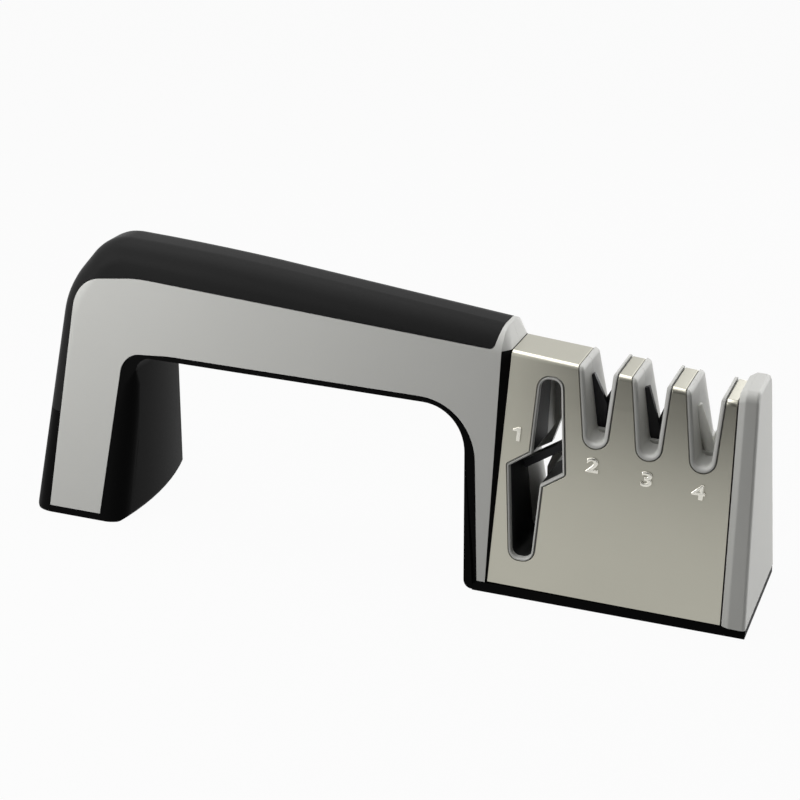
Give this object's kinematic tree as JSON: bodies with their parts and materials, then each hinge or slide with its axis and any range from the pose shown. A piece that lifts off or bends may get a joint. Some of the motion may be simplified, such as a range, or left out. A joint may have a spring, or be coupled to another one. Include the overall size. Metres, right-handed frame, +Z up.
{
  "type": "knife and scissor sharpener",
  "caption": "Bench-top pull-through sharpener with an arched hand grip, open knife slots and a scissor slot in a steel-covered head that slides off its base.",
  "frame": {"origin": "middle of the footprint, on the table", "axes": "+X along the length towards the sharpening head, +Z up, front at -Y"},
  "size_m": [0.2132, 0.0506, 0.0803],
  "materials": {
    "black_abs": "moulded black ABS, fine satin",
    "soft_grip": "soft-touch thermoplastic rubber, matt",
    "grey_abs": "moulded light grey ABS, satin",
    "pad_rubber": "matt non-slip rubber",
    "brushed_stainless": "stainless sheet brushed along its length",
    "tungsten_carbide": "ground dark tungsten carbide",
    "diamond_coat": "dark grit-coated steel",
    "white_ceramic": "fine matt white ceramic",
    "zinc_screw": "zinc-plated steel"
  },
  "bodies": {
    "handle": {"handle_frame": "black_abs", "grip_cover": "soft_grip", "side_shell_front": "grey_abs", "side_shell_rear": "grey_abs", "foot_pad": "pad_rubber", "base_pad_inner": "pad_rubber", "base_pad_outer": "pad_rubber"},
    "head": {"housing_front": "grey_abs", "housing_rear": "grey_abs", "steel_cover": "brushed_stainless", "end_cap": "grey_abs", "scissor_liner": "black_abs", "scissor_bar": "tungsten_carbide", "carbide_plate_left": "tungsten_carbide", "carbide_plate_right": "tungsten_carbide", "diamond_plate_left": "diamond_coat", "diamond_plate_right": "diamond_coat", "ceramic_rod_left": "white_ceramic", "ceramic_rod_right": "white_ceramic", "insert_holder_coarse": "black_abs", "insert_holder_medium": "black_abs", "insert_holder_fine": "black_abs", "housing_screw_1": "zinc_screw", "housing_screw_2": "zinc_screw"}
  },
  "joints": [
    {"name": "head_slide", "type": "slide", "parent": "handle", "child": "head", "axis": [1, 0, 0], "range_m": [0, 0.075]}
  ]
}
